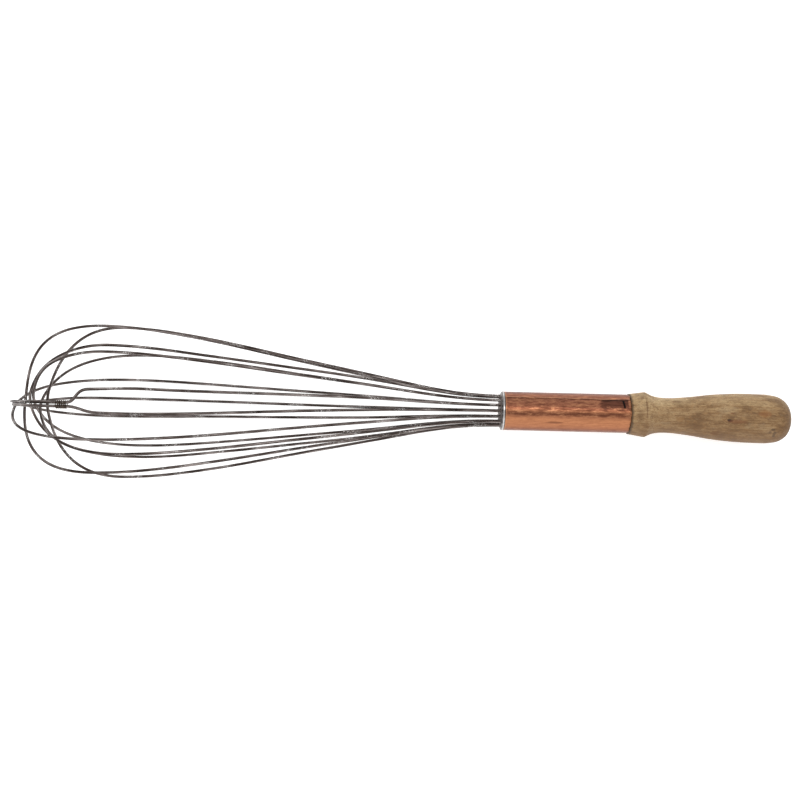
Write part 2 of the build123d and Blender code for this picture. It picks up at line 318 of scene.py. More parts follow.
# Each loop: angle of its slot in degrees, share of the balloon's length where it is widest,
# and its two legs as splay and turn in degrees, fullness of the rounded end, place in the
# stack of crossing wires, and share of the balloon's radius.
loops = {
    "wire_loop_outer": (
        22.5, 0.845, (-10.7, 0.0, 0.6, -0.1, 1.0), (-10.7, -8.0, 0.8, 0.0, 1.0),
    ),
    "wire_loop_lower_front": (
        157.5, 0.803, (3.8, 0.0, 0.79, 1.4, 1.0), (-4.8, -4.0, 0.86, 1.2, 1.0),
    ),
    "wire_loop_flat": (
        0.0, 0.845, (-8.0, 0.0, 0.83, 2.4, 1.0), (-2.9, 4.0, 0.85, 2.3, 1.0),
    ),
    "wire_loop_tall": (
        112.5, 0.824, (-18.0, -18.0, 0.94, 3.5, 1.03), (2.0, 3.5, 0.8, 3.4, 1.0),
    ),
    "wire_loop_upper_back": (
        67.5, 0.782, (-20.5, -8.0, 0.46, 4.5, 1.0), (-17.7, -10.0, 0.86, 4.6, 1.0),
    ),
    "wire_loop_middle_back": (
        45.0, 0.782, (-5.0, 8.0, 0.56, 5.8, 1.0), (-7.5, 0.0, 0.83, 5.9, 1.0),
    ),
    "wire_loop_lower_back": (
        135.0, 0.76, (3.1, 0.0, 0.8, 8.5, 1.0), (5.2, -4.0, 0.6, 8.2, 1.0),
    ),
    "wire_loop_inner": (
        90.0, 0.78, (-1.0, 0.0, 0.65, 10.2, 1.0), (0.0, 0.0, 0.71, 10.2, 0.99),
    ),
}

# Loops whose first legs are tied: side of the tie, and share of the pull that is a sharp bend.
tiedLoops = {"wire_loop_outer": (1, 0.2), "wire_loop_flat": (-1, 0.4)}


def legRadius(distance, belly, widest):
    # cubic Hermite curve through the stations, stretched from the straight start to the belly
    places, heights, slopes = legStations.T
    curved = belly - balloon["straightLength"]
    share = np.clip((distance - balloon["straightLength"]) / curved, 0.0, 1.0)
    i = np.clip(np.searchsorted(places, share, side="right") - 1, 0, len(places) - 2)
    span = places[i + 1] - places[i]
    t = (share - places[i]) / span
    grown = heights[i] + (heights[i + 1] - heights[i]) * t * t * (3 - 2 * t)
    rise = slopes[i] * (t**3 - 2 * t**2 + t) + slopes[i + 1] * (t**3 - t**2)
    return balloon["ringRadius"] + (widest - balloon["ringRadius"]) * grown + span * curved * rise


def aroundAxis(distance, radius, angle):
    # point at a distance from the mouth and a radius, at an angle from +z towards +y, with
    # the sag taken off its height in the picture
    lift = -balloon["sag"] * smooth(distance / (balloon["sagEnd"] * balloon["length"]))
    turn = np.radians(angle)
    return np.stack((-distance, lift + radius * np.sin(turn), radius * np.cos(turn)), axis=-1)


def legHead(belly, widest, tip, fullness):
    # distance and radius on a cubic Bezier curve from the belly to the tip, cut off where the
    # other leg takes over
    t = np.linspace(0.0, 1.0, balloon["headPoints"])[1:]
    rise = balloon["tipRise"] * (1 - fullness)
    corners = np.array((
        (belly, widest),
        (belly + fullness * (tip - belly), widest),
        (tip - rise, balloon["noseShare"] * widest),
        (tip, 0.0),
    ))
    weights = np.stack(((1 - t) ** 3, 3 * t * (1 - t) ** 2, 3 * t**2 * (1 - t), t**3), axis=-1)
    head = weights @ corners
    return head[head[:, 1] > balloon["tipJoinRadius"]]


def legLine(slot, bellyShare, leg, side=0, bendShare=1.0):
    # one leg from inside the collar to beside the tip: a straight start, a widening stretch
    # and a rounded head, while its angle drifts from its slot or to the tie
    splay, turn, fullness, place, radiusShare = leg
    tieEnd = tie["start"] + tie["length"]
    belly = tieEnd if side else bellyShare * balloon["length"]
    widest = radiusShare * balloon["radius"]
    tip = balloon["length"] - place * balloon["wirePitch"]
    straight = np.linspace(
        -balloon["gripLength"], balloon["straightLength"], balloon["straightPoints"])
    grown = np.linspace(balloon["straightLength"], belly, balloon["grownPoints"])[1:]
    head = legHead(belly, widest, tip, fullness)
    distance = np.concatenate((straight, grown, head[:, 0]))
    radius = np.concatenate((
        np.full(len(straight), balloon["ringRadius"]),
        legRadius(grown, belly, widest),
        head[:, 1],
    ))
    angle = slot + splay * smooth(distance / (balloon["splayEnd"] * belly))
    if side:
        nearTip = smooth(1 - radius / balloon["radius"]) * (distance > tieEnd)
        closing = 1 + (tie["tipShare"] - 1) * nearTip
        offset = tie["sideOffset"] + side * tie["wireSpacing"] / 2 * closing
        tied = np.degrees(np.arcsin(np.clip(offset / radius, -1, 1)))
        along = (distance - tie["start"] + 2 * tie["wireDiameter"]) / tie["pullLength"] + 1
        bend = np.clip((along - 1) / bendShare + 1, 0, 1) ** tie["bendPower"]
        pull = tie["pullShare"] * smooth(along) + (1 - tie["pullShare"]) * smooth(bend)
        angle = angle + (tied - angle) * pull
    else:
        angle = angle + (turn - splay) * smooth(1 - radius / widest) * (distance > belly)
    return aroundAxis(distance, radius, angle)


def loopLine(name):
    # both legs of a loop end to end, evened out and rounded where they meet at the tip
    slot, bellyShare, first, second = loops[name]
    there = legLine(slot, bellyShare, first, *tiedLoops.get(name, ()))
    back = legLine(slot + 180, bellyShare, second)
    line, _ = evenly(np.concatenate((there, back[::-1])), balloon["wireStep"])
    return evenly(eased(line, balloon["easing"]), balloon["wireStep"])


# Drawn steel wire dipped in tin: grey with a soft shine, worn brown where the tin has
# gone, with small bright beads of tin that the eye picks up as a glitter along the wires.
def tinnedWire(name, tin):
    look = {
        "patterns": {
            "streaks": ((16.0, 0.9, 0.9), 5.0, 0.6),
            "beads": ((0.42, 0.42, 0.42), 2.0, 0.5),
            "patches": ((14.0, 14.0, 14.0), 1.0, 0.5),
        },
        "beadEdge": (0.56, 0.64),
        "patchEdge": (0.52, 0.62),
        "roughness": (0.35, 0.65, 0.5, 0.3),
        "reliefDepth": 0.05,
    }
    worn, dull, bright, bead = tin
    material, tree, shader = newMaterial(name)
    place = addNode(tree, "ShaderNodeAttribute", output="Vector", attribute_name="place")
    noises = noisePatterns(tree, place, look["patterns"])
    base = addNode(tree, "ShaderNodeValToRGB", {"Fac": noises["streaks"]},
                   stops=((0.36, worn), (0.50, dull), (0.62, bright)))
    beads = region(tree, noises["beads"], look["beadEdge"], noises["patches"], look["patchEdge"])
    base = addNode(tree, "ShaderNodeMix", {0: beads, 6: base, 7: bead}, data_type="RGBA")
    relief = addNode(tree, "ShaderNodeMath", (beads, noises["streaks"]), operation="ADD")
    fill(tree, shader, {
        "Base Color": base,
        "Metallic": 1.0,
        "Roughness": addNode(tree, "ShaderNodeMapRange", (noises["streaks"], *look["roughness"])),
        "Normal": addNode(tree, "ShaderNodeBump", {
            "Height": relief, "Strength": 0.5, "Distance": look["reliefDepth"] * mm,
        }),
    })
    return material


def drawWires():
    # every loop a round tube along its line, a little thicker here and there
    finish = tinnedWire("tinnedSteelWire", balloon["tin"])
    for number, name in enumerate(loops):
        line, length = loopLine(name)
        slot = math.radians(loops[name][0])
        loopPlane = np.array((0.0, math.cos(slot), -math.sin(slot)))  # straight across it
        uneven = wobble(length, 0 * length, 0 * length, len(name), balloon["unevenLength"])
        thicker = balloon["thickening"] * (1 + balloon["unevenShare"] * uneven)
        radius = balloon["wireDiameter"] / 2 * (1 + thicker)
        points, places = tubeGrid(line, length, radius[:, None], loopPlane, balloon["wireSides"])
        places[..., 0] += balloon["wearShift"] * number
        buildPiece(name + "_drawn", points, places, finish, replaced=name)


def windTie():
    # an oval winding: along the wires at an even pitch, with half width times the cosine
    # across and half height times the sine up, round the line between the tied legs
    pitch = tie["wireDiameter"] + tie["turnGap"]
    turns = int(tie["length"] / pitch)
    wireRadius = balloon["wireDiameter"] / 2
    tieRadius = tie["wireDiameter"] / 2
    wide = tie["wireSpacing"] / 2 + wireRadius + tieRadius + tie["clearance"]
    high = wireRadius * tie["heightShare"] + tieRadius
    distance = np.array((tie["start"], tie["start"] + tie["length"]))
    radius = legRadius(distance, distance[1], balloon["radius"])
    ends = aroundAxis(distance, radius, np.degrees(np.arcsin(tie["sideOffset"] / radius)))
    run = ends[1] - ends[0]
    along = run / np.linalg.norm(run)
    across = np.array((0.0, 1.0, 0.0))
    up = -np.cross(across, along)
    turn = np.linspace(0, 2 * np.pi * turns, turns * tie["stepsPerTurn"] + 1)[:, None]
    lead = (np.linalg.norm(run) - turns * pitch) / 2
    line = (
        ends[0] + along * (lead + pitch * turn / (2 * np.pi))
        + across * wide * np.cos(turn) + up * high * np.sin(turn)
    )
    step = tie["stepShare"] * tie["wireDiameter"]
    line, length = evenly(line, step)
    count = np.arange(len(line))
    fromEnd = np.minimum(np.minimum(count, count[::-1]) * step / tieRadius, 1)
    rounding = np.sqrt(np.clip(1 - (1 - fromEnd) ** 2, tie["pointShare"], 1))
    points, places = tubeGrid(line, length, rounding[:, None] * tieRadius, along, tie["wireSides"])
    finish = tinnedWire("bindingWireStained", tie["tin"])
    buildPiece("tip_tie_wound", points, places, finish, replaced="tip_tie")


# Copper sleeve

sleeve = {
    "length": 72.0,
    "diameter": 22.4,
    "wall": 0.6,
    "edgeRound": 0.25,
    "rolledLength": 1.3,     # the end at the handle is beaten down onto the wood
    "rolledDepth": 0.4,
    "evenShare": 0.55,       # share of that depth that is the same all round
    "raggedDepth": 0.35,     # how far that end wanders along the axis
    "raggedStart": 60.0,
    "raggedLength": 13.0,
    "raggedWaves": (5, 11, 17),
    "dentDepth": 0.05,
    "dentSize": 9.0,
    "dentSeed": 4,
    "rows": 150,
    "backRows": 30,
    "cornerRows": 5,
    "sides": 192,
}


# Rolled copper sheet, handled for years: it has tarnished to brown in long uneven streaks, with one
# dark patch near the handle. Bands of painted reflection and painted shade run round it by angle,
# with painted glints in a mottled band, so the eye sees warm bands rather than a mirror.
def tarnishedCopperPaintedReflections():
    look = {
        # painted reflections and painted shade, from the picture's foot round the front to its head
        "paintedReflectionBands": (
            (0.0, "#4c2a1c"), (0.06, "#6e3e29"), (0.16, "#7d482f"), (0.24, "#a76d4c"),
            (0.38, "#b47853"), (0.435, "#a0674a"), (0.46, "#7a4933"), (0.49, "#84523a"),
            (0.525, "#9c6546"), (0.555, "#93593f"), (0.58, "#9a6047"), (0.70, "#a66d53"),
            (0.735, "#7d4a37"), (0.75, "#5f3526"), (0.762, "#c08c6f"), (0.778, "#935c45"),
            (0.86, "#87523b"), (0.90, "#703c2b"), (1.0, "#6b3e2e"),
        ),
        # tarnish streaks, and painted dark reflection in the mottled band
        "streakAndShade": "#5c3323",
        # rubbed cut ends, and painted glints in the mottled band
        "rubbedAndGlint": "#c18660",
        "speck": "#54301f",
        "patchDark": "#482619",
        "patchLight": "#734737",
        "nearBlack": "#150c09",
        "patterns": {
            "wander": ((16.0, 9.0, 9.0), 3.0, 0.6),
            "fine": ((5.0, 0.55, 0.55), 6.0, 0.7),
            "long": ((26.0, 1.1, 1.1), 5.0, 0.65),
            "mottle": ((5.0, 1.2, 1.2), 7.0, 0.75),
            "specks": ((0.9, 0.35, 0.35), 2.0, 0.6),
        },
        # pattern, start and full value, strength, colour
        "coats": (
            ("long", 0.48, 0.68, 0.6, "streakAndShade"),
            ("mottle", 0.50, 0.62, 0.75, "streakAndShade"),
            # painted glints: bright spots in the mottled band
            ("mottle", 0.485, 0.39, 0.8, "rubbedAndGlint"),
        ),
        "specks": (0.66, 0.74, 0.6),
        # where the mottled band of painted dark reflection and painted glints lies
        "mottledReflectionEdges": ((-16.0, -10.0, 0.3, 1.0), (45.0, 60.0, 1.0, 0.4)),  # degrees
        "sway": 1.8,         # degrees by which the bands wander, and are frayed
        "fray": 1.1,
        # edges along the sleeve and round it, in millimetres and degrees
        "patch": {
            "along": ((53.8, 55.0), (70.4, 70.2)),
            "alongFray": 1.6,
            "around": ((11.0, 19.0), (43.5, 42.5)),
            "aroundFray": (9.0, 0.35, 0.65),
            "light": (0.42, 0.62, 1.0),
            "top": (38.0, 39.5, 0.85),
            "strength": 0.95,
        },
        "mark": {
            "along": 68.6, "slant": 0.03, "edge": (0.75, 0.45),
            "around": ((14.0, 18.0), (43.0, 41.0)),
        },
        "scratch": {
            "centre": (28.0, -5.9, 9.5), "size": (3.6, 0.45, 0.6), "fray": 0.5, "strength": 0.6,
        },
        "rims": ((1.0, 0.5), (0.8, 0.3)),  # from the mouth, and from the end at the handle
        "rimStrength": 0.5,
        "roughness": (0.35, 0.7, 0.30, 0.46),
        "patchRoughness": 0.1,
        "reliefDepth": 0.05,
    }
    material, tree, shader = newMaterial("rolledCopperTarnishedPaintedReflections")
    place = addNode(tree, "ShaderNodeAttribute", output="Vector", attribute_name="place")
    x, y, z = addNode(tree, "ShaderNodeSeparateXYZ", (place,)).node.outputs
    noises = noisePatterns(tree, place, look["patterns"])
    fine, mottle = noises["fine"], noises["mottle"]
    # the same painted reflection bands run along the back: there the angle comes down again from 90
    # degrees
    turn = addNode(tree, "ShaderNodeMath", (y, z), operation="ARCTAN2")
    upwards = addNode(tree, "ShaderNodeMath", (turn,), operation="SINE")
    folded = addNode(tree, "ShaderNodeMath", (upwards,), operation="ARCSINE")
    degrees = addNode(tree, "ShaderNodeMath", (folded, 180 / math.pi), operation="MULTIPLY")
    front = addNode(tree, "ShaderNodeMapRange", (z, -0.5, 0.5))
    wandered = swayed(tree, degrees, noises["wander"], look["sway"])
    frayed = swayed(tree, wandered, fine, look["fray"])
    share = addNode(tree, "ShaderNodeMapRange", (frayed, -90.0, 90.0))
    base = addNode(tree, "ShaderNodeValToRGB", {"Fac": share}, stops=look["paintedReflectionBands"])
    # a mottled band between two angles: tarnish streaks and blotches, partly painted dark
    # reflection, with painted glints; faint ones elsewhere
    lowEdge, highEdge = look["mottledReflectionEdges"]
    mottledReflection = region(tree, wandered, lowEdge, wandered, highEdge)
    for pattern, start, full, strength, code in look["coats"]:
        base = coat(tree, base, look[code], noises[pattern], start, full, strength, mottledReflection)
    base = coat(tree, base, look["speck"], noises["specks"], *look["specks"])
    # the dark patch: frayed below and at its left, sharp along its top
    patch = look["patch"]
    (start, end), (low, high) = patch["along"], patch["around"]
    along = region(tree, swayed(tree, x, fine, patch["alongFray"]), start, x, end)
    lower = swayed(tree, degrees, mottle, *patch["aroundFray"])
    around = region(tree, lower, low, wandered, high)
    whole = addNode(tree, "ShaderNodeMath", (along, around), operation="MULTIPLY")
    patchMask = addNode(tree, "ShaderNodeMath", (whole, front), operation="MULTIPLY")
    patchColour = coat(tree, look["patchLight"], look["patchDark"], fine, *patch["light"])
    patchColour = coat(tree, patchColour, look["nearBlack"], wandered, *patch["top"])
    base = coat(tree, base, patchColour, patchMask, 0.0, 1.0, patch["strength"])
    # the black mark: a short slanting stroke at the patch's right end
    mark = look["mark"]
    slant = addNode(tree, "ShaderNodeMath", (degrees, mark["slant"]), operation="MULTIPLY")
    leaned = addNode(tree, "ShaderNodeMath", (x, slant), operation="ADD")
    beside = addNode(tree, "ShaderNodeMath", (leaned, mark["along"]), operation="SUBTRACT")
    off = addNode(tree, "ShaderNodeMath", (beside,), operation="ABSOLUTE")
    low, high = mark["around"]
    stroke = region(tree, degrees, low, degrees, high)
    stroke = addNode(tree, "ShaderNodeMath", (stroke, front), operation="MULTIPLY")
    base = coat(tree, base, look["nearBlack"], off, *mark["edge"], 1.0, stroke)
    scratch = look["scratch"]
    scraped = spot(tree, place, scratch["centre"], scratch["size"], fine, scratch["fray"])
    base = coat(tree, base, look["streakAndShade"], scraped, 0.0, 1.0, scratch["strength"])
    # both cut ends are rubbed brighter
    mouth, far = look["rims"]
    rim = addNode(tree, "ShaderNodeMath", (
        addNode(tree, "ShaderNodeMapRange", (x, *mouth)),
        addNode(tree, "ShaderNodeMapRange", (x, *(sleeve["length"] - inset for inset in far))),
    ), operation="MAXIMUM")
    base = coat(tree, base, look["rubbedAndGlint"], rim, 0.0, 1.0, look["rimStrength"])
    dull = addNode(tree, "ShaderNodeMapRange", (mottle, *look["roughness"]))
    duller = addNode(tree, "ShaderNodeMath", (patchMask, look["patchRoughness"]),
                     operation="MULTIPLY")
    lumps = addNode(tree, "ShaderNodeMath", (mottle, 1.5), operation="MULTIPLY")
    relief = addNode(tree, "ShaderNodeMath", (fine, lumps), operation="ADD")
    fill(tree, shader, {
        "Base Color": base,
        "Metallic": 0.85,
        "Roughness": addNode(tree, "ShaderNodeMath", (dull, duller), operation="ADD"),
        "Normal": addNode(tree, "ShaderNodeBump", {
            "Height": relief, "Strength": 0.35, "Distance": look["reliefDepth"] * mm,
        }),
    })
    return material


def rollSleeve():
    # a closed wall: outer radius along the axis, its end towards the handle beaten down,
    # then back along the inside
    end = sleeve["length"]
    outer = sleeve["diameter"] / 2
    inner = outer - sleeve["wall"]
    edge = sleeve["edgeRound"]
    corner = np.linspace(0, np.pi / 2, sleeve["cornerRows"])
    inwards, outwards = edge * np.cos(corner), edge * np.sin(corner)
    profile = np.concatenate((
        np.stack((edge - inwards, outer - edge + outwards), axis=-1),
        level(np.linspace(edge, end - edge, sleeve["rows"])[1:-1], outer),
        np.stack((end - edge + outwards, outer - edge + inwards), axis=-1),
        level(np.linspace(end, 0, sleeve["backRows"]), inner),
    ))
    points = turnedGrid(profile, sleeve["sides"])
    places = points.copy()
    x, y, z = np.moveaxis(points, -1, 0)
    radius = np.hypot(y, z)
    turn = np.arctan2(y, z)
    onOutside = (radius > inner + sleeve["wall"] / 3).astype(float)
    beaten = smooth((x - end + sleeve["rolledLength"]) / sleeve["rolledLength"])
    waves = sleeve["raggedWaves"]
    ragged = sum(np.sin(n * turn + n) for n in waves) / len(waves)
    pressed = beaten * (sleeve["evenShare"] + (1 - sleeve["evenShare"]) * ragged)
    dents = wobble(x, y, z, sleeve["dentSeed"], sleeve["dentSize"])
    dented = (dents - 1) / 2 * sleeve["dentDepth"]
    newRadius = radius + onOutside * (dented - pressed * sleeve["rolledDepth"])
    nearEnd = smooth((x - sleeve["raggedStart"]) / sleeve["raggedLength"])
    newX = x - nearEnd * (1 + ragged) / 2 * sleeve["raggedDepth"]
    points = np.stack((newX, newRadius * np.sin(turn), newRadius * np.cos(turn)), axis=-1)
    buildPiece("copper_sleeve_rolled", points, places, tarnishedCopperPaintedReflections(), ring=True,
               replaced="copper_sleeve")


# Collar

collar = {
    "lipDiameter": 22.8,
    "lipThickness": 1.9,
    "lipRound": 1.3,
    "lipRows": 9,
    "lipBack": ((-0.35, 0.0), (-0.1, -0.08), (0.0, -0.3)),  # its worn back edge, along and up
    "outerRadius": 10.55,
    "seat": 0.3,
    "boreRadius": 9.85,
    "depth": 45.0,
    "sides": 128,
}


# Spun steel, tinned: a painted highlight along the crest of its lip, with painted shade at its
# front and back, so the eye sees a thin light line round the mouth of the sleeve.
def tinnedSteelPaintedHighlight():
    look = {
        "mottle": ((1.2, 1.2, 1.2), 5.0, 0.6),
        "tin": ((0.35, "#3f3a38"), (0.48, "#7f7b79"), (0.62, "#b9b7b6")),
        # painted shade, a painted highlight along the crest, and painted shade again, from the
        # lip's front to its back
        "crestHighlightAndShade": (
            (0.0, "#2d2724"), (0.3, "#55504d"), (0.45, "#b4b1af"), (0.62, "#efeeed"),
            (0.76, "#8b8785"), (0.9, "#3a3532"), (1.0, "#1f1a18"),
        ),
        "crestHighlightAndShadeShare": 0.65,
    }
    material, tree, shader = newMaterial("spunSteelTinnedPaintedHighlight")
    place = addNode(tree, "ShaderNodeAttribute", output="Vector", attribute_name="place")
    along = addNode(tree, "ShaderNodeSeparateXYZ", (place,), output="X")
    mottle = noisePattern(tree, place, *look["mottle"])
    tin = addNode(tree, "ShaderNodeValToRGB", {"Fac": mottle}, stops=look["tin"])
    # the painted highlight and painted shade, laid across the lip from its front to its back
    share = addNode(tree, "ShaderNodeMapRange", (along, -collar["lipThickness"], 0.0))
    crestHighlightAndShade = addNode(tree, "ShaderNodeValToRGB", {"Fac": share}, stops=look["crestHighlightAndShade"])
    fill(tree, shader, {
        "Base Color": addNode(tree, "ShaderNodeMix", {
            0: look["crestHighlightAndShadeShare"], 6: tin, 7: crestHighlightAndShade,
        }, data_type="RGBA"),
        "Metallic": 1.0,
        "Roughness": 0.28,
    })
    return material


def spinCollar():
    # a closed profile: rounded lip outside the sleeve's mouth, tube inside it, bore all along
    lip = collar["lipDiameter"] / 2
    edge = collar["lipRound"]
    front = -collar["lipThickness"]
    outer, bore = collar["outerRadius"], collar["boreRadius"]
    turn = np.linspace(0, np.pi / 2, collar["lipRows"])
    nose = np.stack((front + edge - edge * np.cos(turn), lip - edge + edge * np.sin(turn)), axis=-1)
    profile = np.concatenate((
        ((front, bore), (front, (bore + lip - edge) / 2)),
        nose,
        np.array(collar["lipBack"]) + (0.0, lip),
        ((0.0, outer + collar["seat"]), (0.0, outer)),
        ((collar["depth"], outer), (collar["depth"], bore), (0.0, bore)),
    ))
    points = turnedGrid(profile, collar["sides"])
    buildPiece("steel_collar_spun", points, points.copy(), tinnedSteelPaintedHighlight(), ring=True,
               replaced="steel_collar")


# Solder

solder = {
    "radius": 9.8,
    "domeHeight": 1.0,
    "depth": 7.0,
    "meniscusHeight": 0.55,  # solder climbs a little way up every wire
    "meniscusStart": 0.6,
    "meniscusReach": 0.75,
    "lumpHeight": 0.16,
    "lumpSize": 0.9,
    "lumpSeed": 11,
    "rimWidth": 0.8,
    "rimDepth": 0.2,
    "poleRadius": 0.05,
    "rings": 70,
    "sides": 256,
}


# Solder run in hot and left as it set: dull grey, mottled, with a rough skin.
def dullSolder():
    look = {
        "mottle": ((1.6, 1.6, 1.6), 6.0, 0.65),
        "skin": ((0.35, "#4d4440"), (0.5, "#716865"), (0.66, "#9a918c")),
        "reliefDepth": 0.15,
    }
    material, tree, shader = newMaterial("castSolderDull")
    place = addNode(tree, "ShaderNodeAttribute", output="Vector", attribute_name="place")
    mottle = noisePattern(tree, place, *look["mottle"])
    fill(tree, shader, {
        "Base Color": addNode(tree, "ShaderNodeValToRGB", {"Fac": mottle}, stops=look["skin"]),
        "Metallic": 0.9,
        "Roughness": 0.5,
        "Normal": addNode(tree, "ShaderNodeBump", {
            "Height": mottle, "Strength": 0.6, "Distance": look["reliefDepth"] * mm,
        }),
    })
    return material


def pourSolder():
    # a round face of rings: a shallow dome, raised round each of the sixteen wires by a
    # height that falls off with the distance to the wire, and lumpy in between; the last
    # two rings are its rim in the collar and its far end
    rings = np.linspace(solder["poleRadius"], solder["radius"], solder["rings"])
    radius = np.concatenate((rings, np.full(2, solder["radius"])))
    turn = np.linspace(0, 2 * np.pi, solder["sides"], endpoint=False)
    y = radius[:, None] * np.sin(turn)
    z = radius[:, None] * np.cos(turn)
    dome = solder["domeHeight"] * (1 - (radius / solder["radius"]) ** 2)[:, None]
    slotCount = 2 * len(loops)
    nearest = np.round(turn / (2 * np.pi) * slotCount) * 2 * np.pi / slotCount
    ring = balloon["ringRadius"]
    away = np.hypot(y - ring * np.sin(nearest), z - ring * np.cos(nearest))
    fall = np.maximum(away - solder["meniscusStart"], 0) / solder["meniscusReach"]
    climb = solder["meniscusHeight"] * np.exp(-(fall**2))
    lumps = solder["lumpHeight"] * wobble(y, z, 0 * y, solder["lumpSeed"], solder["lumpSize"])
    rim = smooth((solder["radius"] - radius) / solder["rimWidth"])[:, None]
    x = -collar["lipThickness"] - dome - (climb + lumps) * rim
    x[-2] = -collar["lipThickness"] + solder["rimDepth"]
    x[-1] = solder["depth"]
    points = np.stack((x, y, z), axis=-1)
    buildPiece("solder_plug_poured", points, points.copy(), dullSolder(),
               replaced="solder_plug")


# Handle

grip = {
    "tenonStart": 45.05,
    "tenonRadius": 10.55,
    "tenonGap": 0.02,
    "length": 92.7,
    "shoulderDiameter": 23.3,
    "ridgeDistance": 9.4,
    "ridgeDiameter": 26.2,
    "ridgeRound": 0.6,
    "grooveDistance": 12.5,
    "grooveDiameter": 23.1,
    "grooveSlope": 0.4,      # how steeply the outline leaves the groove
    "waistDistance": 21.6,
    "waistDiameter": 20.2,
    "swellDistance": 74.0,
    "swellDiameter": 28.4,
    "flatDiameter": 8.0,
    "bodyShares": ((0.26, 0.255), (0.48, 0.65), (0.7, 0.905)),
    "buttShares": ((0.37, 0.02), (0.68, 0.14), (0.85, 0.345)),
    "leanDistance": -13.0,   # from inside the sleeve on, the wood has warped to one side
    "lean": 0.69,            # degrees
    "poleRadius": 0.1,
    "sides": 160,
}


